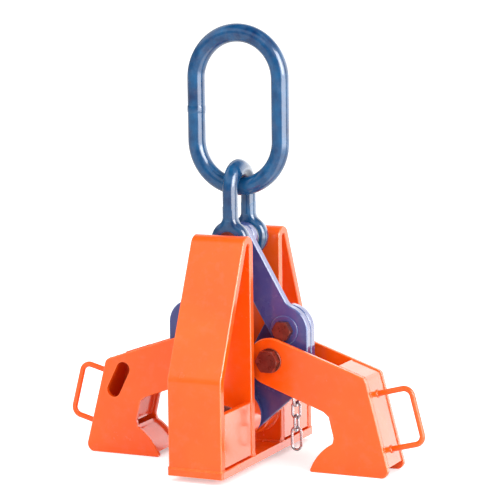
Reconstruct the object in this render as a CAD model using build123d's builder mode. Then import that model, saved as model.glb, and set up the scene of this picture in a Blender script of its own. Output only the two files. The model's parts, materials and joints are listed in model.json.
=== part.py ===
"""Self-tightening lifting clamp for beams and plates.

A foot frame of two bent straps stands on the load. Two levers and two links form a rhombus between
the straps: pulling the top pin up closes it, and the box-shaped arms hung on the levers grip the load
from both sides. A shackle and a master link take the crane hook.

Millimetres. +X points along the right arm, +Y to the rear strap, +Z up.
The origin is the centre of the foot plate's underside. The clamp is drawn fully pulled up.
The whole clamp repeats itself when it is turned half way round the Z axis, except for the keeper chain.
"""
import os
from math import cos, hypot, pi, radians, sin, sqrt, tan

from build123d import *

os.makedirs("parts", exist_ok=True)

# ---------------------------------------------------------------- foot frame
base_length = 232.0
base_width = 63.0
base_thick = 8.0
base_corner_radius = 3.0
edge_break = 0.8                 # chamfer along flame-cut plate edges
strap_width = 60.0
strap_thick = 8.0
outer_leg_face = 115.0          # |Y| of a strap's outer face
inner_leg_face = 33.0           # |Y| of the face turned to the linkage
knee_z = 100.0                  # where the outer face leaves the vertical
slope_angle = 24.0              # lean of the strap above the knee
knee_bend_radius = 18.0
top_bend_radius = 8.0
side_panel_top = 66.0
side_panel_thick = 6.0
side_panel_inset = 0.6            # from the strap's edge inwards
side_panel_lift = 2.5             # drain slot between the base plate and a side panel
boss_radius = 27.0
boss_chamfer = 1.2
boss_face = 10.6                # |Y| of the boss end beside the levers

# ---------------------------------------------------------------- linkage
centre_z = 45.0                 # centre pivot of both levers
link_pivot_x = 54.0             # lever to link pivot
link_pivot_z = 138.0
top_pivot_z = 2 * link_pivot_z - centre_z
arm_pivot_x = 44.0              # lever to arm pivot
arm_pivot_z = 108.0
plate_near = 1.0                # |Y| of the linkage plates' two faces
plate_far = 10.0
pivot_round = 26.0              # end round of levers and links about the link pivot
lever_foot_round = 24.0         # end round of a lever about the centre pivot
lever_edge_x = link_pivot_x + pivot_round    # straight edge the arm rests against
lever_heel = (76.0, 86.0)       # rounded lower end of that edge
lever_heel_radius = 4.0
link_half_width = 16.5
link_heel = (75.0, 117.0)
link_heel_radius = 5.0
link_neck_radius = 14.0         # hollow between a link's strap and its end round

centre_pin_radius = 8.0
link_bolt_radius = 6.0
arm_bolt_radius = 7.0
top_pin_radius = 9.0
running_gap = 0.05              # radial clearance of every turning fit
loose_gap = 0.2                 # radial clearance of bolts in fixed plates

# ---------------------------------------------------------------- fasteners
link_nut_flats = 19.0
arm_nut_flats = 22.0
centre_nut_flats = 24.0
hex_chamfer = 1.6
washer_thick = 2.0
thin_washer_thick = 1.5
centre_washer_radius = 15.0
link_washer_radius = 15.5
link_spacer_radius = 14.0
arm_washer_radius = 13.0
arm_spacer_radius = 11.0
lever_spacer_radius = 18.0
side_play = 0.1                 # axial play of spacers and rings
bolt_point = 1.2                # chamfer on a bolt's tip
link_head_thick = 7.5
arm_head_thick = 8.8
centre_head_thick = 10.0
arm_nut_thick = 12.8
centre_nut_thick = 13.0
bolt_stand_out = 5.0            # how far a bolt reaches out of its nut
link_tip_out = 0.4              # the same for the short link bolts

# ---------------------------------------------------------------- shackle and master link
shackle_rod_radius = 8.0
shackle_leg_y = 22.5
shackle_bow_rise = 74.0         # top pin to the rod's centre at the top of the bow
shackle_crown_radius = 9.5      # the forged bow is thicker at its top
shackle_eye_radius = 21.5
shackle_eye_thick = 15.0
shackle_eye_round = 6.5         # rounding of the eyes' rims
shackle_neck_top = 36.0         # where an eye has run out into the rod, above the pin
shackle_neck_round = 8.0        # hollow between the eye's round and the rod
bow_steps = 4                   # sections along the bow, which swells towards its top
pin_head_radius = 10.5
pin_head_round = 1.5
pin_ring_radius = 14.0
pin_spacer_radius = 15.0
pin_to_strap = 0.5              # gap between the pin's ends and the straps
facing_allowance = 2.0          # stock removed outside the eyes
master_rod_radius = 9.5
master_inner_width = 77.0
master_inner_length = 141.0
hanging_gap = 0.3

# ---------------------------------------------------------------- arms
arm_half_width = 25.0           # |Y| of a cheek's outer face
cheek_thick = 5.0
arm_plate_thick = 5.0
arm_top_slope = 19.0            # fall of the arm's top edge
arm_low_slope = 20.0            # fall of the lower edge, between the eye and the throat
arm_end_radius = 25.0
slot_centre = (135.0, 75.0)     # hand hole in one cheek of each arm
slot_tilt = 117.0
slot_length = 42.0
slot_width = 16.0
back_plate_inset = 1.0          # how far each plate lies below the cheeks' edges
web_plate_inset = 5.0
jaw_pad_inset = 2.5
jaw_pad_thick = 6.0
shoulder_round = 7.0            # rounding of the cheeks' corners
heel_round = 8.0
throat_round = 5.0
nose_round = 3.0
corner_round = 2.0
stop_block_size = (8.0, 11.0)
stop_gap = 0.05                 # between the stop block and the lever's edge
stop_below_pivot = 20.5
handle_rod_radius = 3.0
handle_reach = 36.0
handle_bend_radius = 9.0
handle_root = 1.0               # depth of the rod's ends below the cheeks' edges
handle_feet = (20.0, 79.0)      # distances down the arm's back from its shoulder

# ---------------------------------------------------------------- keeper chain
chain_x = 60.0
chain_hole_z = 76.0
chain_hole_radius = 3.5
chain_ring_top = 76.6            # wire centre of the ring inside the hole
chain_ring_wire = 1.6
chain_wire = 1.5
chain_play = 0.15


def facing(y):
    """Sketch plane at height y on the Y axis: local x is X, local y is Z, extrudes towards -Y."""
    return Plane.XZ.offset(-y)


def half_turn(part):
    return Rot(0, 0, 180) * part


def export_piece(part, name):
    part.label = name
    export_step(part, f"parts/{name}.step")


def export_pair(part, name, first, second):
    """Write a piece and its copy on the opposite side of the Z axis."""
    export_piece(part, f"{name}_{first}")
    export_piece(half_turn(part), f"{name}_{second}")


def tube(x, z, y_near, y_far, radius, bore_radius, rim_chamfer=0.3):
    """Washer, spacer or boss along Y between y_near and y_far."""
    with BuildPart() as piece:
        with BuildSketch(facing(y_far)):
            with Locations((x, z)):
                Circle(radius)
        extrude(amount=y_far - y_near)
        outer_edges = piece.edges().filter_by(GeomType.CIRCLE)
        chamfer(outer_edges, rim_chamfer)
        with BuildSketch(facing(y_far)):
            with Locations((x, z)):
                Circle(bore_radius)
        extrude(amount=y_far - y_near, mode=Mode.SUBTRACT)
    return piece.part


def hexagon(x, z, y_near, y_far, across_flats, bore_radius=0.0):
    """Hexagonal nut or head along Y, its corners broken at both ends."""
    thick = y_far - y_near
    with BuildPart() as turned:
        with BuildSketch(facing(y_far)):
            with Locations((x, z)):
                Circle(across_flats / 2 / cos(radians(30)))
        extrude(amount=thick)
        chamfer(turned.edges().filter_by(GeomType.CIRCLE), hex_chamfer * 0.5, hex_chamfer)
    with BuildPart() as piece:
        with BuildSketch(facing(y_far)):
            with Locations((x, z)):
                RegularPolygon(across_flats / 2, 6, major_radius=False)
        extrude(amount=thick)
        add(turned.part, mode=Mode.INTERSECT)
        if bore_radius:
            with BuildSketch(facing(y_far)):
                with Locations((x, z)):
                    Circle(bore_radius)
            extrude(amount=thick, mode=Mode.SUBTRACT)
    return piece.part


def hex_bolt(x, z, radius, head_y, tip_y, head_thick, across_flats):
    """Bolt along Y with its head towards -Y, the head's underside at head_y, and its tip at tip_y."""
    with BuildPart() as piece:
        with BuildSketch(facing(tip_y)):
            with Locations((x, z)):
                Circle(radius)
        extrude(amount=tip_y - head_y)
        tip_edge = piece.edges().filter_by(GeomType.CIRCLE).sort_by(Axis.Y)[-1]
        chamfer(tip_edge, bolt_point)
        add(hexagon(x, z, head_y - head_thick, head_y, across_flats))
    return piece.part


# ================================================================ foot frame
with BuildPart() as base_plate:
    with BuildSketch(Plane.XY) as base_outline:
        Rectangle(base_width, base_length)
        fillet(base_outline.vertices(), base_corner_radius)
    extrude(amount=base_thick)
    chamfer(base_plate.faces().sort_by(Axis.Z)[-1].edges(), edge_break)
export_piece(base_plate.part, "base_plate")

leg_centre = outer_leg_face - strap_thick / 2
inner_centre = inner_leg_face + strap_thick / 2
knee_centre_z = knee_z - strap_thick / 2 * tan(radians(slope_angle / 2))
apex_z = knee_centre_z + (leg_centre - inner_centre) / tan(radians(slope_angle))

with BuildPart() as strap:
    with BuildSketch(Plane.YZ) as strap_section:
        with BuildLine() as strap_path:
            outer_leg = Line((leg_centre, base_thick), (leg_centre, knee_centre_z))
            slope = Line((leg_centre, knee_centre_z), (inner_centre, apex_z))
            inner_leg = Line((inner_centre, apex_z), (inner_centre, base_thick))
            knee = strap_path.vertices().sort_by_distance((leg_centre, knee_centre_z))[0]
            fillet(knee, knee_bend_radius)
            apex = strap_path.vertices().sort_by_distance((inner_centre, apex_z))[0]
            fillet(apex, top_bend_radius)
        trace(line_width=strap_thick)
    extrude(amount=strap_width / 2, both=True)
    long_edges = strap.faces().filter_by(Axis.X).edges()
    chamfer(long_edges, edge_break)
    with BuildSketch(facing(inner_centre + strap_thick)):
        with Locations((0, centre_z)):
            Circle(centre_pin_radius + loose_gap)
    extrude(amount=2 * strap_thick, mode=Mode.SUBTRACT)
export_pair(strap.part, "strap", "rear", "front")

panel_near = inner_leg_face + strap_thick
panel_far = outer_leg_face - strap_thick
panel_face = strap_width / 2 - side_panel_inset
panel_foot = base_thick + side_panel_lift


def side_panel(face_x):
    """Upright plate closing the foot of a strap; face_x is the X of its low-X face."""
    with BuildPart() as piece:
        with BuildSketch(Plane.YZ.offset(face_x)) as outline:
            with BuildLine():
                Polyline(
                    (panel_near, panel_foot),
                    (panel_far, panel_foot),
                    (panel_far, side_panel_top),
                    (panel_near, side_panel_top),
                    close=True,
                )
            make_face()
        extrude(amount=side_panel_thick)
        chamfer(piece.faces().sort_by(Axis.Z)[-1].edges().filter_by(Axis.Y), edge_break)
    return piece.part


right_panel = side_panel(panel_face - side_panel_thick)
left_panel = side_panel(-panel_face)
export_pair(right_panel, "side_panel", "rear_right", "front_left")
export_pair(left_panel, "side_panel", "rear_left", "front_right")

boss = tube(0, centre_z, boss_face, inner_leg_face, boss_radius, centre_pin_radius + loose_gap, boss_chamfer)
export_pair(boss, "pivot_boss", "rear", "front")

# The centre bolt: its head and nut sit inside the strap boxes.
washer_out = inner_leg_face + strap_thick + washer_thick
centre_nut_out = washer_out + centre_nut_thick
centre_bolt = hex_bolt(
    0, centre_z, centre_pin_radius, -washer_out, centre_nut_out + bolt_stand_out,
    centre_head_thick, centre_nut_flats,
)
export_piece(centre_bolt, "centre_bolt")
centre_nut = hexagon(0, centre_z, washer_out, centre_nut_out, centre_nut_flats, centre_pin_radius)
export_piece(centre_nut, "centre_nut")
centre_washer = tube(
    0, centre_z, washer_out - washer_thick, washer_out, centre_washer_radius, centre_pin_radius + loose_gap
)
with BuildPart() as centre_washers:
    add(centre_washer)
    add(half_turn(centre_washer))
export_piece(centre_washers.part, "centre_washers")

spacer_half = plate_near - side_play / 2
lever_spacer = tube(
    0, centre_z, -spacer_half, spacer_half, lever_spacer_radius, centre_pin_radius + running_gap
)
export_piece(lever_spacer, "lever_spacer")

# ================================================================ levers and links
with BuildPart() as lever:
    with BuildSketch(facing(plate_far)) as lever_outline:
        with Locations((0, centre_z)):
            Circle(lever_foot_round)
        with Locations((link_pivot_x, link_pivot_z)):
            Circle(pivot_round)
        with Locations(lever_heel):
            Circle(lever_heel_radius)
        make_hull()
    extrude(amount=plate_far - plate_near)
    chamfer(lever.faces().filter_by(Axis.Y).edges(), edge_break)
    with BuildSketch(facing(plate_far)):
        with Locations((0, centre_z)):
            Circle(centre_pin_radius + running_gap)
        with Locations((link_pivot_x, link_pivot_z)):
            Circle(link_bolt_radius + running_gap)
        with Locations((arm_pivot_x, arm_pivot_z)):
            Circle(arm_bolt_radius + running_gap)
    extrude(amount=plate_far - plate_near, mode=Mode.SUBTRACT)
left_lever = half_turn(lever.part)
with BuildPart() as lever_right:
    add(lever.part)
    with BuildSketch(facing(plate_far)):
        with Locations((chain_x, chain_hole_z)):
            Circle(chain_hole_radius)
    extrude(amount=plate_far - plate_near, mode=Mode.SUBTRACT)
export_piece(lever_right.part, "lever_right")
export_piece(left_lever, "lever_left")

# A link is a straight strap with a round heel. The heel bulges only on the side away from the arm's eye.
link_run = (0 - link_pivot_x, top_pivot_z - link_pivot_z)
link_length = hypot(*link_run)
link_along = (link_run[0] / link_length, link_run[1] / link_length)
heel_top = (link_pivot_x + pivot_round * link_along[0], link_pivot_z + pivot_round * link_along[1])
heel_side = (link_pivot_x + pivot_round * link_along[1], link_pivot_z - pivot_round * link_along[0])
heel_low = (link_pivot_x - pivot_round * link_along[0], link_pivot_z - pivot_round * link_along[1])
neck_reach = sqrt(pivot_round**2 - link_half_width**2)
neck = (
    link_pivot_x + neck_reach * link_along[0] + link_half_width * link_along[1],
    link_pivot_z + neck_reach * link_along[1] - link_half_width * link_along[0],
)
with BuildPart() as link:
    with BuildSketch(facing(-plate_near)) as link_outline:
        with Locations((0, top_pivot_z), (link_pivot_x, link_pivot_z)):
            Circle(link_half_width)
        make_hull()
        with BuildSketch(mode=Mode.PRIVATE) as heel_outline:
            with BuildLine():
                ThreePointArc(heel_top, heel_side, heel_low)
                Line(heel_low, heel_top)
            make_face()
            with Locations((link_pivot_x, link_pivot_z)):
                Circle(link_half_width)
            with Locations(link_heel):
                Circle(link_heel_radius)
            make_hull()
        add(heel_outline.sketch)
        fillet(link_outline.vertices().sort_by_distance(neck)[0], link_neck_radius)
    extrude(amount=plate_far - plate_near)
    chamfer(link.faces().filter_by(Axis.Y).edges(), edge_break)
    with BuildSketch(facing(-plate_near)):
        with Locations((0, top_pivot_z)):
            Circle(top_pin_radius + running_gap)
        with Locations((link_pivot_x, link_pivot_z)):
            Circle(link_bolt_radius + running_gap)
    extrude(amount=plate_far - plate_near, mode=Mode.SUBTRACT)
export_pair(link.part, "link", "right", "left")

# Lever to link bolts. Flat heads and nuts: the arm cheeks pass close outside them.
link_washer_out = plate_far + thin_washer_thick
link_head_out = link_washer_out + link_head_thick
link_bolt = hex_bolt(
    link_pivot_x, link_pivot_z, link_bolt_radius, -link_washer_out, link_head_out + link_tip_out,
    link_head_thick, link_nut_flats,
)
export_pair(link_bolt, "link_bolt", "right", "left")
link_nut = hexagon(
    link_pivot_x, link_pivot_z, link_washer_out, link_head_out, link_nut_flats, link_bolt_radius
)
export_pair(link_nut, "link_nut", "right", "left")
with BuildPart() as link_washers:
    for near, far, radius in (
        (-link_washer_out, -plate_far, link_washer_radius),
        (-spacer_half, spacer_half, link_spacer_radius),
        (plate_far, link_washer_out, link_washer_radius),
    ):
        add(tube(link_pivot_x, link_pivot_z, near, far, radius, link_bolt_radius + running_gap))
export_pair(link_washers.part, "link_washers", "right", "left")

# ================================================================ shackle and master link
eye_inner_y = shackle_leg_y - shackle_eye_thick / 2
eye_outer_y = shackle_leg_y + shackle_eye_thick / 2
bow_centre_z = top_pivot_z + shackle_bow_rise - shackle_leg_y

with BuildPart() as shackle:
    with BuildSketch(Plane.XY.offset(top_pivot_z)):
        with Locations((0, -shackle_leg_y), (0, shackle_leg_y)):
            Circle(shackle_rod_radius)
    extrude(amount=bow_centre_z - top_pivot_z)
    with BuildLine(Plane.YZ):
        CenterArc((0, bow_centre_z), shackle_leg_y, 180, -180)
    for step in range(bow_steps + 1):
        turn = pi * step / bow_steps
        outward = (0, -cos(turn), sin(turn))
        middle = (0, shackle_leg_y * outward[1], bow_centre_z + shackle_leg_y * outward[2])
        with BuildSketch(Plane(origin=middle, x_dir=outward, z_dir=(0, sin(turn), cos(turn)))):
            Circle(shackle_rod_radius + (shackle_crown_radius - shackle_rod_radius) * sin(turn) ** 2)
    sweep(multisection=True)
    for outer_y in (-eye_inner_y, eye_outer_y):
        with BuildPart(mode=Mode.PRIVATE) as eye:
            with BuildSketch(facing(outer_y)) as eye_outline:
                with Locations((0, top_pivot_z)):
                    Circle(shackle_eye_radius)
                with Locations((0, top_pivot_z + shackle_neck_top / 2)):
                    Rectangle(2 * shackle_rod_radius, shackle_neck_top)
                fillet(eye_outline.vertices().group_by(Axis.Y)[0], shackle_neck_round)
            extrude(amount=shackle_eye_thick)
            fillet(eye.faces().filter_by(Axis.Y).edges(), shackle_eye_round)
        add(eye.part)
    # The legs end inside the eyes: face the eyes flat on both sides and bore the pin hole.
    for outer_y in (-eye_outer_y, eye_outer_y + facing_allowance):
        with BuildSketch(facing(outer_y)):
            with Locations((0, top_pivot_z)):
                Circle(shackle_eye_radius)
        extrude(amount=facing_allowance, mode=Mode.SUBTRACT)
    with BuildSketch(facing(eye_inner_y)):
        with Locations((0, top_pivot_z)):
            Circle(shackle_eye_radius + facing_allowance)
    extrude(amount=2 * eye_inner_y, mode=Mode.SUBTRACT)
    with BuildSketch(facing(eye_outer_y)):
        with Locations((0, top_pivot_z)):
            Circle(top_pin_radius + running_gap)
    extrude(amount=2 * eye_outer_y, mode=Mode.SUBTRACT)
export_piece(shackle.part, "shackle")

pin_end_y = inner_leg_face - pin_to_strap
with BuildPart() as shackle_pin:
    with BuildSketch(facing(pin_end_y)):
        with Locations((0, top_pivot_z)):
            Circle(top_pin_radius)
    extrude(amount=2 * pin_end_y)
    with BuildSketch(facing(-eye_outer_y - side_play)):
        with Locations((0, top_pivot_z)):
            Circle(pin_head_radius)
    extrude(amount=pin_end_y - eye_outer_y - side_play)
    fillet(shackle_pin.edges().filter_by(GeomType.CIRCLE).sort_by(Axis.Y)[0], pin_head_round)
export_piece(shackle_pin.part, "shackle_pin")
pin_ring = tube(
    0, top_pivot_z, eye_outer_y + side_play, pin_end_y - pin_to_strap, pin_ring_radius, top_pin_radius
)
export_piece(pin_ring, "shackle_pin_ring")
pin_bore_radius = top_pin_radius + running_gap
pin_spacer = tube(
    0, top_pivot_z, plate_far + side_play, eye_inner_y - side_play, pin_spacer_radius, pin_bore_radius
)
with BuildPart() as pin_spacers:
    add(pin_spacer)
    add(half_turn(pin_spacer))
    add(tube(0, top_pivot_z, -spacer_half, spacer_half, pin_ring_radius, pin_bore_radius))
export_piece(pin_spacers.part, "shackle_pin_spacers")

bow_inside_z = top_pivot_z + shackle_bow_rise - shackle_crown_radius
master_bottom_z = bow_inside_z - hanging_gap - master_rod_radius
master_bend = master_inner_width / 2 + master_rod_radius
master_low_z = master_bottom_z + master_bend
master_high_z = master_low_z + master_inner_length - master_inner_width
with BuildPart() as master_link:
    with BuildLine(Plane.XZ) as master_path:
        left_side = Line((-master_bend, master_high_z), (-master_bend, master_low_z))
        lower_end = ThreePointArc(
            (-master_bend, master_low_z), (0, master_low_z - master_bend), (master_bend, master_low_z)
        )
        right_side = Line((master_bend, master_low_z), (master_bend, master_high_z))
        upper_end = ThreePointArc(
            (master_bend, master_high_z), (0, master_high_z + master_bend), (-master_bend, master_high_z)
        )
    with BuildSketch(Plane(origin=(-master_bend, 0, master_high_z), z_dir=(0, 0, -1))):
        Circle(master_rod_radius)
    sweep()
export_piece(master_link.part, "master_link")

# ================================================================ arms
# Outline of a cheek, drawn in X and Z. The arm's eye end is a round, its outer end a hook.
eye = (arm_pivot_x - 0.6, arm_pivot_z - 1.6)      # centre of the end round
top_tilt = radians(arm_top_slope)
low_tilt = radians(arm_low_slope)
shoulder_x = 150.0
throat_x = 103.0
top_start = (eye[0] + arm_end_radius * sin(top_tilt), eye[1] + arm_end_radius * cos(top_tilt))
low_end = (eye[0] - arm_end_radius * sin(low_tilt), eye[1] - arm_end_radius * cos(low_tilt))
round_end = (eye[0] - arm_end_radius * cos(low_tilt), eye[1] + arm_end_radius * sin(low_tilt))
shoulder = (shoulder_x, top_start[1] - (shoulder_x - top_start[0]) * tan(top_tilt))
throat_edge = (throat_x, low_end[1] - (throat_x - low_end[0]) * tan(low_tilt))
throat_high = (109.2, 53.0)
throat_low = (114.5, 31.0)
nose_back = (113.0, 25.0)
nose_bulge = (97.5, 12.2)
nose_tip = (87.0, -6.5)
hook_heel = (177.0, -6.5)

with BuildSketch() as cheek_outline:
    with BuildLine():
        Line(top_start, shoulder)
        Line(shoulder, hook_heel)
        Line(hook_heel, nose_tip)
        ThreePointArc(nose_tip, nose_bulge, nose_back)
        Line(nose_back, throat_low)
        Line(throat_low, throat_high)
        Line(throat_high, throat_edge)
        Line(throat_edge, low_end)
        ThreePointArc(low_end, round_end, top_start)
    make_face()
    for point, radius in (
        (shoulder, shoulder_round),
        (hook_heel, heel_round),
        (throat_low, throat_round),
        (nose_back, nose_round),
        (nose_tip, corner_round),
        (throat_high, corner_round),
        (throat_edge, corner_round),
    ):
        fillet(cheek_outline.vertices().sort_by_distance(point)[0], radius)

cheek_inner_y = arm_half_width - cheek_thick


def cheek(y_far, slotted):
    """One side plate of the right arm, with its far face at y_far."""
    with BuildPart() as piece:
        with BuildSketch(facing(y_far)):
            add(cheek_outline.sketch)
        extrude(amount=cheek_thick)
        chamfer(piece.faces().filter_by(Axis.Y).edges(), edge_break)
        with BuildSketch(facing(y_far)):
            with Locations((arm_pivot_x, arm_pivot_z)):
                Circle(arm_bolt_radius + running_gap)
            if slotted:
                with Locations(Location(slot_centre, slot_tilt)):
                    SlotOverall(slot_length, slot_width)
        extrude(amount=cheek_thick, mode=Mode.SUBTRACT)
    return piece.part


plain_cheek = cheek(-cheek_inner_y, False)
slotted_cheek = cheek(arm_half_width, True)
export_piece(plain_cheek, "arm_cheek_front_right")
export_piece(slotted_cheek, "arm_cheek_rear_right")
export_piece(half_turn(slotted_cheek), "arm_cheek_front_left")
export_piece(half_turn(plain_cheek), "arm_cheek_rear_left")


def edge_plate(inset, thick, corners):
    """Plate between the cheeks that follows their outline, cut off by the polygon of corners."""
    with BuildPart() as piece:
        with BuildSketch(facing(cheek_inner_y)):
            add(cheek_outline.sketch)
            offset(amount=-inset, mode=Mode.REPLACE)
            with BuildSketch(mode=Mode.PRIVATE) as core:
                add(cheek_outline.sketch)
                offset(amount=-inset - thick, mode=Mode.REPLACE)
            add(core.sketch, mode=Mode.SUBTRACT)
            with BuildSketch(mode=Mode.PRIVATE) as window:
                Polygon(*corners, align=None)
            add(window.sketch, mode=Mode.INTERSECT)
        extrude(amount=2 * cheek_inner_y)
    return piece.part


# The windows say which stretch of the cheeks' outline each plate follows.
back_window = ((118, 130), (118, 88), (150, 60), (164, 4), (200, 4), (200, 130))
web_window = ((104, 30), (104, 54), (112, 66), (126, 66), (130, 30))
jaw_window = ((84, -2), (84, 30), (108, 30), (122, 22), (106, -2))
export_pair(edge_plate(back_plate_inset, arm_plate_thick, back_window), "arm_back_plate", "right", "left")
export_pair(edge_plate(web_plate_inset, arm_plate_thick, web_window), "arm_web_plate", "right", "left")
export_pair(edge_plate(jaw_pad_inset, jaw_pad_thick, jaw_window), "jaw_pad", "right", "left")

stop_centre = (lever_edge_x + stop_gap + stop_block_size[0] / 2, arm_pivot_z - stop_below_pivot)
with BuildPart() as stop_block:
    with BuildSketch(facing(cheek_inner_y)):
        with Locations(stop_centre):
            Rectangle(*stop_block_size)
    extrude(amount=cheek_inner_y - plate_near / 2)
    chamfer(stop_block.edges().filter_by(Axis.Y).group_by(Axis.X)[-1], edge_break)
export_pair(stop_block.part, "arm_stop", "right", "left")

# Handle: a bent rod that stands square on the arm's sloping back.
back_run = (hook_heel[0] - shoulder[0], hook_heel[1] - shoulder[1])
back_length = hypot(*back_run)
along = (back_run[0] / back_length, back_run[1] / back_length)
outward = (-along[1], along[0])


def on_back(distance, reach):
    """Point on the arm's back: distance from the shoulder down, reach outwards."""
    return (
        shoulder[0] + along[0] * distance + outward[0] * reach,
        shoulder[1] + along[1] * distance + outward[1] * reach,
    )


upper_foot, lower_foot = handle_feet
handle_foot = on_back(upper_foot, -handle_root)
with BuildPart() as handle:
    with BuildLine(Plane.XZ) as handle_path:
        FilletPolyline(
            handle_foot,
            on_back(upper_foot, handle_reach),
            on_back(lower_foot, handle_reach),
            on_back(lower_foot, -handle_root),
            radius=handle_bend_radius,
        )
    with BuildSketch(Plane(origin=(handle_foot[0], 0, handle_foot[1]), z_dir=(outward[0], 0, outward[1]))):
        Circle(handle_rod_radius)
    sweep()
export_pair(handle.part, "arm_handle", "right", "left")

arm_washer_out = arm_half_width + washer_thick
arm_nut_out = arm_washer_out + arm_nut_thick
arm_bolt = hex_bolt(
    arm_pivot_x, arm_pivot_z, arm_bolt_radius, -arm_washer_out, arm_nut_out + bolt_stand_out,
    arm_head_thick, arm_nut_flats,
)
export_pair(arm_bolt, "arm_bolt", "right", "left")
arm_nut = hexagon(arm_pivot_x, arm_pivot_z, arm_washer_out, arm_nut_out, arm_nut_flats, arm_bolt_radius)
export_pair(arm_nut, "arm_nut", "right", "left")
with BuildPart() as arm_washers:
    for near, far in ((arm_half_width, arm_washer_out), (-arm_washer_out, -arm_half_width)):
        add(tube(arm_pivot_x, arm_pivot_z, near, far, arm_washer_radius, arm_bolt_radius + loose_gap))
export_pair(arm_washers.part, "arm_washers", "right", "left")
with BuildPart() as arm_spacers:
    for near, far in (
        (-cheek_inner_y, plate_near - side_play),
        (plate_far + side_play, cheek_inner_y),
    ):
        add(tube(arm_pivot_x, arm_pivot_z, near, far, arm_spacer_radius, arm_bolt_radius + loose_gap))
export_pair(arm_spacers.part, "arm_spacers", "right", "left")


# ================================================================ keeper chain
chain_y = (plate_near + plate_far) / 2


def chain_oval(plane, top_z, centre_length, half_width, wire):
    """Long round chain link whose wire centre reaches from top_z down by centre_length."""
    upper = top_z - half_width
    lower = top_z - centre_length + half_width
    with BuildPart() as piece:
        with BuildLine(plane):
            Line((-half_width, upper), (-half_width, lower))
            ThreePointArc((-half_width, lower), (0, lower - half_width), (half_width, lower))
            Line((half_width, lower), (half_width, upper))
            ThreePointArc((half_width, upper), (0, upper + half_width), (-half_width, upper))
        start = plane.from_local_coords((-half_width, upper, 0))
        with BuildSketch(Plane(origin=start, z_dir=(0, 0, -1))):
            Circle(wire)
        sweep()
    return piece.part


crosswise = Plane(origin=(chain_x, chain_y, 0), x_dir=(0, 1, 0), z_dir=(1, 0, 0))
lengthwise = Plane(origin=(chain_x, chain_y, 0), x_dir=(1, 0, 0), z_dir=(0, -1, 0))
oval_length = 16.5
oval_half_width = 4.2
ring_length = 21.0
ring_half_width = 7.0
end_length = 24.0
end_half_width = 5.2
rest_step = chain_wire + chain_wire + chain_play

chain_ring = chain_oval(crosswise, chain_ring_top, ring_length, ring_half_width, chain_ring_wire)
export_piece(chain_ring, "chain_ring")
first_top = chain_ring_top - ring_length + chain_ring_wire + chain_wire + chain_play
second_top = first_top - oval_length + rest_step
with BuildPart() as chain_links:
    add(chain_oval(lengthwise, first_top, oval_length, oval_half_width, chain_wire))
    add(chain_oval(crosswise, second_top, oval_length, oval_half_width, chain_wire))
export_piece(chain_links.part, "chain_links")
end_top = second_top - oval_length + rest_step
export_piece(chain_oval(lengthwise, end_top, end_length, end_half_width, chain_wire), "chain_end_link")
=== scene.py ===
"""Looks of the lifting clamp: paint, welds, threads, floor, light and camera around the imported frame."""

import json
import math

import bpy
from mathutils import Matrix, Vector
from mathutils.bvhtree import BVHTree


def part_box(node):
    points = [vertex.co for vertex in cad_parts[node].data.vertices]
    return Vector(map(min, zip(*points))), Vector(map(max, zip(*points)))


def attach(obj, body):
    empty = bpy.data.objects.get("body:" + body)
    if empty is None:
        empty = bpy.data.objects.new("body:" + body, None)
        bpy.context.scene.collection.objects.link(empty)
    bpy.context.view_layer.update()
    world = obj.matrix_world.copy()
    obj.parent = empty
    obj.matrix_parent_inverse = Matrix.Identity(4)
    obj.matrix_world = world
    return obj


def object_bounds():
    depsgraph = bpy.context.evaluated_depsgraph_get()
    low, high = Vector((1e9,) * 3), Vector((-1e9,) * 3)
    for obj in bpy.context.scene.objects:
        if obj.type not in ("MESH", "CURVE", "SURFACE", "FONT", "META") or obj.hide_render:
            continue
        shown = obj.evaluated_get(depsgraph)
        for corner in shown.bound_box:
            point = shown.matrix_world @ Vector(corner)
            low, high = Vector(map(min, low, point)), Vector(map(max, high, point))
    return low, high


MM = 0.001

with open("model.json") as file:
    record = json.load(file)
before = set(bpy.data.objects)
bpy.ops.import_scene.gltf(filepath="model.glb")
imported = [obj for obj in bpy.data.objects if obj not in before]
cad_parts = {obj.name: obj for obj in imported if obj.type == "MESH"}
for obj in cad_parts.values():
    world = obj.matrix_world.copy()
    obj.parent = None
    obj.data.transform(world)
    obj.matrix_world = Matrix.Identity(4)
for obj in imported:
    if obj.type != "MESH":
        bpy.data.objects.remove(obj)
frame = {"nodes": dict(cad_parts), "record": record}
cad_low, cad_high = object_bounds()
nodes = frame["nodes"]
slot_of_node = {s["node"]: s["material_slot"] for s in frame["record"]["subparts"]}


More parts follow.
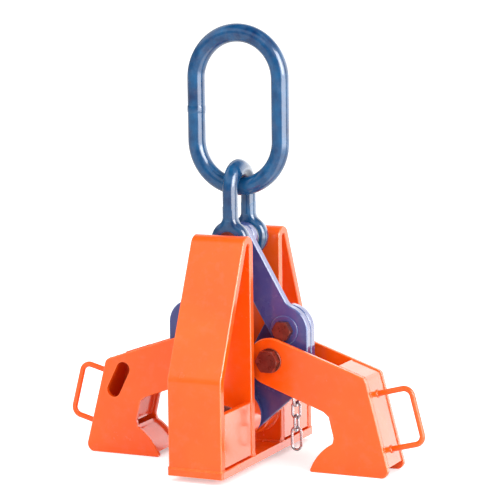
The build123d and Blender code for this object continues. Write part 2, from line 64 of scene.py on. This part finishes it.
# ---------------------------------------------------------------- node materials
class Shader:
    """Short way to build the node tree of a material or world, in object coordinates."""

    def __init__(self, owner):
        """Starts an empty tree in a material or world."""
        owner.use_nodes = True
        self.owner = owner
        self.tree = owner.node_tree
        self.tree.nodes.clear()
        self.where = self.add("ShaderNodeTexCoord").outputs["Object"]

    def add(self, kind, inputs=None, **settings):
        """Makes a node, sets its inputs to numbers or links them to sockets, and returns it."""
        node = self.tree.nodes.new(kind)
        for key, value in settings.items():
            setattr(node, key, value)
        for key, value in (inputs or {}).items():
            if isinstance(value, bpy.types.NodeSocket):
                self.tree.links.new(value, node.inputs[key])
            else:
                node.inputs[key].default_value = value
        return node

    def noise(self, scale, detail=3.0, roughness=0.55, where=None):
        """Noise pattern; scale is in repeats per metre."""
        source = where or self.where
        node = self.add(
            "ShaderNodeTexNoise",
            {"Vector": source, "Scale": scale, "Detail": detail, "Roughness": roughness},
        )
        return node.outputs["Fac"]

    def remap(self, value, low, high, new_low=0.0, new_high=1.0):
        """Stretches low..high to new_low..new_high and clamps what lies outside."""
        node = self.add(
            "ShaderNodeMapRange",
            {"Value": value, "From Min": low, "From Max": high, "To Min": new_low, "To Max": new_high},
        )
        return node.outputs["Result"]

    def math(self, operation, a, b=0.0):
        """One sum on two values."""
        return self.add("ShaderNodeMath", {0: a, 1: b}, operation=operation).outputs[0]

    def mix(self, factor, a, b):
        """Blends colour a into b by factor."""
        node = self.add("ShaderNodeMix", data_type="RGBA", blend_type="MIX")
        for key, value in ((0, factor), (6, a), (7, b)):
            if isinstance(value, bpy.types.NodeSocket):
                self.tree.links.new(value, node.inputs[key])
            else:
                node.inputs[key].default_value = value
        return node.outputs[2]

    def stretched(self, x, y, z):
        """Object coordinates scaled along each axis."""
        return self.add("ShaderNodeMapping", {"Vector": self.where, "Scale": (x, y, z)}).outputs[0]

    def edges(self, radius):
        """1 along sharp edges, 0 on open faces."""
        soft = self.add("ShaderNodeBevel", {"Radius": radius}, samples=4).outputs[0]
        sharp = self.add("ShaderNodeNewGeometry").outputs["Normal"]
        dot = self.add("ShaderNodeVectorMath", {0: soft, 1: sharp}, operation="DOT_PRODUCT").outputs["Value"]
        return self.remap(dot, 0.998, 0.93)

    def finish(self, color, roughness, height, strength, metallic=0.0, coat=0.0, blur=0.08, specular=0.5):
        """Ends the tree in one surface: height and strength drive its bump, coat and blur its clear coat."""
        bump = self.add("ShaderNodeBump", {"Height": height, "Strength": strength, "Distance": bump_depth})
        surface = self.add(
            "ShaderNodeBsdfPrincipled",
            {
                "Base Color": color,
                "Roughness": roughness,
                "Metallic": metallic,
                "Coat Weight": coat,
                "Coat Roughness": blur,
                "Specular IOR Level": specular,
                "Normal": bump.outputs[0],
            },
        )
        out = self.add("ShaderNodeOutputMaterial")
        self.tree.links.new(surface.outputs[0], out.inputs["Surface"])
        return self.owner


bump_depth = 0.6 * MM
paint_edge = 1.4 * MM
plating_edge = 0.8 * MM
dust_color = (0.62, 0.50, 0.42, 1)
chip_color = (0.16, 0.13, 0.12, 1)


def paint(
    name, base, deep, edge_highlight_and_wear, roughness, coat,
    blur=0.08, peel_scale=260.0, peel=0.10, mottling=14.0, dull_sides=0.0,
):
    """Glossy sprayed paint: broad tone changes, orange peel, thin paint with a painted highlight and small
    chips along the edges.

    dull_sides is the share of gloss lost on faces turned to X, as on the rough rolled edges of flat bar.
    """
    s = Shader(bpy.data.materials.new(name))
    broad = s.remap(s.noise(mottling, 4.0), 0.3, 0.7)
    color = s.mix(broad, deep, base)
    dust = s.remap(s.noise(90.0, 6.0, 0.7), 0.50, 0.80, 0.0, 0.06)
    color = s.mix(dust, color, dust_color)
    edge = s.edges(paint_edge)
    edge_highlight_and_thin_paint = s.math("MULTIPLY", edge, s.remap(s.noise(70.0, 5.0, 0.7), 0.35, 0.65, 0.1, 0.8))
    # Lighter edges: partly paint worn thin, partly a painted highlight where light catches the edges.
    color = s.mix(edge_highlight_and_thin_paint, color, edge_highlight_and_wear)
    chips = s.math("MULTIPLY", edge, s.remap(s.noise(330.0, 6.0, 0.75), 0.61, 0.65))
    color = s.mix(chips, color, chip_color)
    shine = s.remap(s.noise(35.0, 5.0, 0.65), 0.3, 0.7, roughness * 0.75, roughness * 1.4)
    height = s.math("ADD", s.noise(peel_scale, 2.0), s.math("MULTIPLY", s.noise(40.0, 2.0), 1.5))
    normal = s.add("ShaderNodeNewGeometry").outputs["Normal"]
    sideways = s.math("ABSOLUTE", s.add("ShaderNodeSeparateXYZ", {0: normal}).outputs["X"])
    gloss = s.remap(sideways, 0.6, 0.9, 1.0, 1.0 - dull_sides)
    return s.finish(
        color, shine, height, peel, coat=s.math("MULTIPLY", gloss, coat), blur=blur,
        specular=s.math("MULTIPLY", gloss, 0.5),
    )


def plated(name, light, dark, roughness, metallic=0.95):
    """Turned or plated steel: fine turning lines, cloudy plating and bright edges."""
    s = Shader(bpy.data.materials.new(name))
    cloud = s.remap(s.noise(120.0, 5.0, 0.65), 0.3, 0.7)
    color = s.mix(cloud, dark, light)
    lines = s.noise(1.0, 3.0, 0.6, s.stretched(40, 900, 40))
    color = s.mix(s.remap(lines, 0.4, 0.6, 0.0, 0.25), color, dark)
    shine = s.remap(s.noise(220.0, 4.0, 0.7), 0.3, 0.7, roughness * 0.7, roughness * 1.5)
    edge = s.edges(plating_edge)
    color = s.mix(s.math("MULTIPLY", edge, 0.6), color, light)
    height = s.math("ADD", lines, s.noise(600.0, 3.0))
    return s.finish(color, shine, height, 0.25, metallic=metallic)


# Each paint's third colour lights its edges: partly worn paint, partly a painted highlight.
orange = ((0.94, 0.110, 0.003, 1), (0.90, 0.088, 0.002, 1), (1.0, 0.27, 0.06, 1))
finishes = {
    "orange_paint": paint("orange_paint", *orange, 0.20, 0.7, blur=0.13),
    # blue_paint is the blue of blue_gloss with red added: the red is a painted reflection of the orange frame
    # in the plates.
    "blue_paint": paint(
        "blue_paint", (0.060, 0.070, 0.255, 1), (0.038, 0.046, 0.195, 1), (0.18, 0.34, 0.60, 1), 0.22, 1.0
    ),
    "blue_gloss": paint(
        "blue_gloss", (0.004, 0.088, 0.225, 1), (0.001, 0.024, 0.095, 1), (0.05, 0.22, 0.42, 1), 0.16, 1.0,
        peel_scale=150.0, peel=0.30, mottling=60.0,
    ),
    # dark_bolt is dark steel tinted red-brown: the tint is a painted reflection of the orange paint round the
    # bolts.
    "dark_bolt": plated("dark_bolt", (0.32, 0.085, 0.060, 1), (0.15, 0.026, 0.020, 1), 0.30, metallic=0.7),
    "zinc": plated("zinc", (0.70, 0.70, 0.68, 1), (0.42, 0.41, 0.38, 1), 0.30),
    "chain_steel": plated("chain_steel", (0.80, 0.80, 0.82, 1), (0.40, 0.41, 0.44, 1), 0.16, metallic=1.0),
}
strap_paint = paint("orange_paint_on_bar", *orange, 0.20, 0.7, blur=0.13, dull_sides=0.6)

for name, node in nodes.items():
    node.data.materials.clear()
    node.data.materials.append(strap_paint if name.startswith("strap_") else finishes[slot_of_node[name]])


# ---------------------------------------------------------------- welds and threads
along_x = Vector((1, 0, 0))
along_y = Vector((0, 1, 0))
along_z = Vector((0, 0, 1))

bead_sides = 10
ripple_pitch = 2.2 * MM
steps_per_ripple = 4
ripple_depth = 0.28
end_taper = 0.55

inner_foot_bead = 2.6 * MM
outer_foot_bead = 1.2 * MM
outer_foot_inset = 0.4 * MM
panel_bead = 1.3 * MM
boss_bead = 2.2 * MM
handle_bead = 1.5 * MM
# Plates between an arm's cheeks: how near the cheek's rim a plate's outline is welded, and the bead's radius.
arm_plate_welds = (
    ("arm_back_plate", 1.5 * MM, 1.5 * MM),
    ("jaw_pad", 3.0 * MM, 1.8 * MM),
    ("arm_web_plate", 5.4 * MM, 1.8 * MM),
)

flat_tolerance = 0.01 * MM
touch_tolerance = 0.1 * MM
outline_step = 0.5 * MM
shortest_stretch = 8  # in outline steps

collar_half_length = 4.5 * MM
collar_steps = 16
collar_swell = 0.75 * MM
collar_sink = 0.3 * MM
collar_wave = 0.05 * MM

thread_pitch = 2.0 * MM
thread_steps = 36  # per turn
thread_fade = 9  # steps
thread_clear = 0.5 * MM  # the shank is measured this far past the nut
thread_start = 0.3  # in pitches from the nut
thread_unused = 0.8  # in pitches, at both ends together
thread_height = 0.32 * MM
thread_least_height = 0.02 * MM
thread_root_depth = 0.1 * MM
thread_root = 0.42  # half width in pitches
thread_crest = 0.08  # half width in pitches


def resample(points, closed, step):
    """Points at even spacing along a polyline."""
    path = points + points[:1] if closed else points
    spans = [(b - a).length for a, b in zip(path, path[1:])]
    whole = sum(spans)
    count = max(2, round(whole / step))
    even = []
    index = 0
    passed = 0.0
    for k in range(count if closed else count + 1):
        target = min(k * whole / count, whole - 1e-9)
        while passed + spans[index] < target:
            passed += spans[index]
            index += 1
        even.append(path[index].lerp(path[index + 1], (target - passed) / spans[index]))
    return even


class Solid:
    """Collects vertices and faces and turns them into a piece that rides on a body."""

    def __init__(self):
        self.vertices = []
        self.faces = []

    def tube(self, rings, closed):
        """Skin over rings of points; the two ends are capped unless the run is closed."""
        first = len(self.vertices)
        sides = len(rings[0])
        for ring in rings:
            self.vertices.extend(ring)
        for k in range(len(rings) if closed else len(rings) - 1):
            here = first + k * sides
            there = first + (k + 1) % len(rings) * sides
            for j in range(sides):
                after = (j + 1) % sides
                self.faces.append((here + j, here + after, there + after, there + j))
        if not closed:
            last = first + (len(rings) - 1) * sides
            self.faces.append(tuple(first + j for j in reversed(range(sides))))
            self.faces.append(tuple(last + j for j in range(sides)))

    def bead(self, points, across, radius, closed=False):
        """Rippled weld bead along points; across is square to its run."""
        even = resample(points, closed, ripple_pitch / steps_per_ripple)
        count = len(even)
        rings = []
        for k, point in enumerate(even):
            ahead = even[(k + 1) % count] if closed else even[min(k + 1, count - 1)]
            behind = even[k - 1] if closed else even[max(k - 1, 0)]
            along = (ahead - behind).normalized()
            up = along.cross(across).normalized()
            sideways = up.cross(along)
            ripple = 1 - ripple_depth + ripple_depth * (k % steps_per_ripple) / (steps_per_ripple - 1)
            swell = radius * ripple * (1 + 0.06 * math.sin(0.37 * k))
            if not closed and k in (0, count - 1):
                swell *= end_taper
            turns = [2 * math.pi * j / bead_sides for j in range(bead_sides)]
            rings.append([point + sideways * swell * math.cos(t) + up * swell * math.sin(t) for t in turns])
        self.tube(rings, closed)

    def piece(self, name, body, slot):
        mesh = bpy.data.meshes.new(name)
        mesh.from_pydata(self.vertices, [], self.faces)
        mesh.polygons.foreach_set("use_smooth", [True] * len(mesh.polygons))
        mesh.materials.append(finishes[slot])
        made = bpy.data.objects.new(name, mesh)
        bpy.context.scene.collection.objects.link(made)
        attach(made, body)


def circle(centre, normal, radius, count=48):
    """Points round a circle."""
    first = normal.orthogonal().normalized()
    second = normal.cross(first).normalized()
    turns = [2 * math.pi * k / count for k in range(count)]
    return [centre + first * radius * math.cos(t) + second * radius * math.sin(t) for t in turns]


def face_loops(node, y):
    """Outlines of the flat faces that a node has in the plane at y."""
    mesh = nodes[node].data
    edges = set()
    for polygon in mesh.polygons:
        corners = [mesh.vertices[i].co for i in polygon.vertices]
        if max(abs(corner.y - y) for corner in corners) > flat_tolerance:
            continue
        spots = [(round(corner.x, 6), round(corner.z, 6)) for corner in corners]
        for edge in zip(spots, spots[1:] + spots[:1]):
            if edge[::-1] in edges:
                edges.remove(edge[::-1])
            else:
                edges.add(edge)
    follow = dict(sorted(edges))
    loops = []
    while follow:
        start = min(follow)
        here = follow.pop(start)
        loop = [start]
        while here != start:
            loop.append(here)
            here = follow.pop(here)
        loops.append([Vector((x, y, z)) for x, z in loop])
    return loops


def rim_of(node):
    """Search tree over the narrow edge faces of a plate that lies in X and Z."""
    mesh = nodes[node].data
    corners = [vertex.co for vertex in mesh.vertices]
    rim = [tuple(p.vertices) for p in mesh.polygons if abs(p.normal.y) < 0.3]
    return BVHTree.FromPolygons(corners, rim)


def stretches_near(loop, tree, reach):
    """The stretches of a closed outline that lie within reach of a surface."""
    even = resample(loop, True, outline_step)
    near = [tree.find_nearest(point)[3] < reach for point in even]
    start = near.index(False)
    stretches = [[]]
    for k in range(start, start + len(even)):
        if near[k % len(even)]:
            stretches[-1].append(even[k % len(even)])
        elif stretches[-1]:
            stretches.append([])
    return [stretch for stretch in stretches if len(stretch) > shortest_stretch]


def frame_welds():
    """Beads that join the straps, side panels and pivot bosses to each other and to the base plate."""
    welds = Solid()
    floor_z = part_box("base_plate")[1].z
    for rear_or_front, way in (("rear", 1), ("front", -1)):
        low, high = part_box(f"strap_{rear_or_front}")
        near, far = sorted((abs(low.y), abs(high.y)))
        inner_foot = [Vector((x, way * near, floor_z)) for x in (low.x, high.x)]
        welds.bead(inner_foot, along_y, inner_foot_bead)
        outer_foot = [Vector((x, way * (far - outer_foot_inset), floor_z)) for x in (low.x, high.x)]
        welds.bead(outer_foot, along_y, outer_foot_bead)
        for side, strap_x in (("left", low.x), ("right", high.x)):
            panel_low, panel_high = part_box(f"side_panel_{rear_or_front}_{side}")
            panel_x = panel_high.x if side == "right" else panel_low.x
            panel_near, panel_far = sorted((abs(panel_low.y), abs(panel_high.y)))
            for start, end in ((near, panel_near), (panel_far, far)):
                foot_side = [Vector((strap_x, way * y, floor_z)) for y in (start, end)]
                welds.bead(foot_side, along_x, panel_bead)
            for y in (panel_near, panel_far):
                upright = [Vector((panel_x, way * y, z)) for z in (panel_low.z, panel_high.z)]
                welds.bead(upright, along_x, panel_bead)
        boss_low, boss_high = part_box(f"pivot_boss_{rear_or_front}")
        centre = (boss_low + boss_high) / 2
        centre.y = way * near
        boss_radius = (boss_high.x - boss_low.x) / 2
        welds.bead(circle(centre, along_y, boss_radius), along_y, boss_bead, closed=True)
    welds.piece("welds_frame", "frame", "orange_paint")


def arm_welds(side):
    """Beads along the plates between an arm's cheeks and round the feet of its handle."""
    welds = Solid()
    rim_rear = rim_of(f"arm_cheek_rear_{side}")
    rim_front = rim_of(f"arm_cheek_front_{side}")
    for part, reach, radius in arm_plate_welds:
        node = f"{part}_{side}"
        low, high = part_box(node)
        for y, tree in ((high.y, rim_rear), (low.y, rim_front)):
            for loop in face_loops(node, y):
                for stretch in stretches_near(loop, tree, reach):
                    welds.bead(stretch, along_y, radius)
    handle = nodes[f"arm_handle_{side}"].data
    plate = nodes[f"arm_back_plate_{side}"].data
    plate_tree = BVHTree.FromPolygons(
        [vertex.co for vertex in plate.vertices], [tuple(p.vertices) for p in plate.polygons]
    )
    touching = [v.co for v in handle.vertices if plate_tree.find_nearest(v.co)[3] < touch_tolerance]
    middle_z = sum(point.z for point in touching) / len(touching)
    for is_upper in (True, False):
        foot = [point for point in touching if (point.z > middle_z) == is_upper]
        centre = sum(foot, Vector()) / len(foot)
        normal = plate_tree.find_nearest(centre)[1]
        rod_radius = max((point - centre).length for point in foot)
        welds.bead(circle(centre, normal, rod_radius), normal, handle_bead, closed=True)
    welds.piece(f"welds_arm_{side}", f"arm_{side}", "orange_paint")


def link_butt_weld():
    """Low collar where the master link's rod is welded shut, half way up one long side."""
    low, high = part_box("master_link")
    rod_radius = (high.y - low.y) / 2
    centre = Vector((low.x + rod_radius, 0, (low.z + high.z) / 2))
    rings = []
    for k in range(collar_steps + 1):
        place = 2 * k / collar_steps - 1
        radius = rod_radius - collar_sink + collar_swell * math.sqrt(max(0.0, 1 - place * place))
        middle = centre + along_z * (place * collar_half_length)
        ring = circle(middle, along_z, radius)
        wave = [collar_wave * math.sin(5 * j + 1.7 * k) for j in range(len(ring))]
        rings.append([p + (p - middle).normalized() * w for p, w in zip(ring, wave)])
    collar = Solid()
    collar.tube(rings, False)
    collar.piece("butt_weld_master_link", "master_link", "blue_gloss")


def bolt_thread(bolt, nut, body, way):
    """Helical ridge on the stretch of a bolt that stands out of its nut; way is the sign of Y at the tip."""
    low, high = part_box(bolt)
    nut_low, nut_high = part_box(nut)
    axis = (low + high) / 2
    nut_face = nut_high.y if way > 0 else nut_low.y
    tip = high.y if way > 0 else low.y
    out = [v.co for v in nodes[bolt].data.vertices if way * (v.co.y - nut_face) > thread_clear]
    shank = max(math.hypot(co.x - axis.x, co.z - axis.z) for co in out)
    start = nut_face + way * thread_start * thread_pitch
    run = abs(tip - start) - thread_unused * thread_pitch
    steps = round(thread_steps * run / thread_pitch)
    rings = []
    for k in range(steps + 1):
        turn = 2 * math.pi * k / thread_steps
        y = start + way * thread_pitch * k / thread_steps
        fade = min(1.0, k / thread_fade, (steps - k) / thread_fade)
        rise = thread_height * fade + thread_least_height
        outward = Vector((math.cos(turn), 0, math.sin(turn)))
        profile = (
            (-thread_root, -thread_root_depth),
            (-thread_crest, rise),
            (thread_crest, rise),
            (thread_root, -thread_root_depth),
        )
        ring = [
            Vector((axis.x, y + way * offset * thread_pitch, axis.z)) + outward * (shank + height)
            for offset, height in profile
        ]
        rings.append(ring if way > 0 else ring[::-1])
    ridge = Solid()
    ridge.tube(rings, False)
    ridge.piece(f"thread_{bolt}", body, "dark_bolt")


frame_welds()
for side in ("right", "left"):
    arm_welds(side)
link_butt_weld()
bolt_thread("arm_bolt_right", "arm_nut_right", "arm_right", 1)
bolt_thread("arm_bolt_left", "arm_nut_left", "arm_left", -1)
bolt_thread("centre_bolt", "centre_nut", "frame", 1)


# ---------------------------------------------------------------- stage, light and camera
# Screens: first and last bearing in degrees, from +X towards +Y, then the softness of their rims in
# degrees and their strength.
side_screen = (-50.0, 8.0, 4.0, 5.0)
back_screen = (22.0, 112.0, 8.0, 2.1)
front_glow = 0.18
soft_light = 0.85
floor_glow = 0.42
half_floor = 30.0
lamp_aim = (0, 0, 0.18)
side_shift, drop = 0.0103, 0.0017  # of the camera's aim, in the picture plane


def studio_glow(s, direction):
    """What glossy paint mirrors at eye level: a white screen on the right, another behind, a dimmer front."""
    parts = s.add("ShaderNodeSeparateXYZ", {0: direction}).outputs
    bearing = s.math("ARCTAN2", parts["Y"], parts["X"])
    level = s.remap(parts["Z"], -0.30, -0.17, 0.25, 1.0)
    glow = front_glow
    for start, end, soft, strength in (side_screen, back_screen):
        rising = s.remap(bearing, math.radians(start - soft), math.radians(start + soft), 0.0, strength)
        falling = s.remap(bearing, math.radians(end - soft), math.radians(end + soft), 1.0, 0.0)
        screen = s.math("MULTIPLY", rising, falling)
        glow = s.math("ADD", glow, s.math("MULTIPLY", screen, level))
    return glow


def floor_material():
    """White for the camera with a faint contact shadow; in glossy paint it shows the studio's screens."""
    s = Shader(bpy.data.materials.new("floor"))
    rays = s.add("ShaderNodeLightPath").outputs
    tone = s.mix(s.remap(s.noise(0.8, 3.0), 0.3, 0.7), (0.86, 0.86, 0.86, 1), (0.90, 0.90, 0.90, 1))
    tone = s.mix(rays["Is Glossy Ray"], tone, (0.30, 0.30, 0.30, 1))
    s.finish(tone, 0.85, s.noise(60.0), 0.02, specular=0.1)
    surface = s.tree.nodes["Principled BSDF"]
    to_viewer = s.add("ShaderNodeNewGeometry").outputs["Incoming"]
    away = s.add("ShaderNodeVectorMath", {0: to_viewer, "Scale": -1.0}, operation="SCALE")
    direction = away.outputs["Vector"]
    mirrored = s.math("MULTIPLY", rays["Is Glossy Ray"], studio_glow(s, direction))
    seen = s.math("MULTIPLY", rays["Is Camera Ray"], floor_glow)
    surface.inputs["Emission Color"].default_value = (1, 1, 1, 1)
    s.tree.links.new(s.math("ADD", mirrored, seen), surface.inputs["Emission Strength"])
    return s.owner


def make_world():
    """White for the camera, even for soft light, and a studio of light and dark zones for glossy paint."""
    world = bpy.data.worlds.new("studio")
    bpy.context.scene.world = world
    s = Shader(world)
    direction = s.add("ShaderNodeTexCoord").outputs["Generated"]
    height = s.add("ShaderNodeSeparateXYZ", {0: direction}).outputs["Z"]
    rays = s.add("ShaderNodeLightPath").outputs
    walls = s.math("MULTIPLY", studio_glow(s, direction), s.remap(height, 0.35, 0.75, 1.0, 0.1))
    overhead = s.math("MULTIPLY", s.remap(height, 0.28, 0.45), s.remap(height, 0.68, 0.85, 0.75, 0.0))
    mirrored = s.math("MAXIMUM", walls, overhead)
    soft = s.math("ADD", s.math("MULTIPLY", rays["Is Diffuse Ray"], soft_light), rays["Is Camera Ray"])
    total = s.math("ADD", soft, s.math("MULTIPLY", rays["Is Glossy Ray"], mirrored))
    background = s.add("ShaderNodeBackground", {"Color": (1, 1, 1, 1), "Strength": total})
    out = s.add("ShaderNodeOutputWorld")
    s.tree.links.new(background.outputs[0], out.inputs["Surface"])


def make_floor(height):
    """Square floor, level with the lowest corner of the clamp, which is on the arms."""
    mesh = bpy.data.meshes.new("floor")
    corners = ((-1, -1), (1, -1), (1, 1), (-1, 1))
    mesh.from_pydata([(x * half_floor, y * half_floor, height) for x, y in corners], [], [(0, 1, 2, 3)])
    floor = bpy.data.objects.new("floor", mesh)
    bpy.context.scene.collection.objects.link(floor)
    mesh.materials.append(floor_material())


def softbox(name, place, width, height, power, mirrored):
    """Area lamp turned to the object; glossy paint shows it only if mirrored."""
    data = bpy.data.lights.new(name, "AREA")
    data.shape = "RECTANGLE"
    data.size, data.size_y = width, height
    data.energy = power
    light = bpy.data.objects.new(name, data)
    bpy.context.scene.collection.objects.link(light)
    light.location = place
    light.rotation_euler = (Vector(lamp_aim) - Vector(place)).to_track_quat("-Z", "Y").to_euler()
    light.visible_glossy = mirrored


def make_camera():
    """Camera at the photograph's angle; focal_share is the focal length over the sensor's width."""
    azimuth, elevation, roll = math.radians(24.9), math.radians(7.98), math.radians(-0.755)
    distance = 2.298
    focal_share = 4.381
    aim_height = 0.220
    back = Vector((
        math.sin(azimuth) * math.cos(elevation),
        -math.cos(azimuth) * math.cos(elevation),
        math.sin(elevation),
    ))
    right = Vector((math.cos(azimuth), math.sin(azimuth), 0))
    up = back.cross(right)
    target = Vector((0, 0, aim_height)) + right * side_shift - up * drop
    turned_right = right * math.cos(roll) + up * math.sin(roll)
    turned_up = up * math.cos(roll) - right * math.sin(roll)
    data = bpy.data.cameras.new("camera")
    data.sensor_width = 36.0
    data.lens = focal_share * data.sensor_width
    camera = bpy.data.objects.new("camera", data)
    bpy.context.scene.collection.objects.link(camera)
    camera.matrix_world = Matrix.Translation(target + back * distance) @ Matrix(
        (turned_right, turned_up, back)
    ).transposed().to_4x4()
    bpy.context.scene.camera = camera


scene = bpy.context.scene
scene.view_settings.view_transform = "Standard"
scene.view_settings.look = "None"

make_world()
make_floor(cad_low.z)
softbox("key_right", (2.0, -0.9, 1.3), 1.2, 1.6, 40, True)
softbox("fill_front", (-1.2, -2.4, 1.4), 1.6, 1.6, 27, False)
softbox("top", (0.0, 0.3, 2.4), 1.8, 1.8, 18, False)
make_camera()
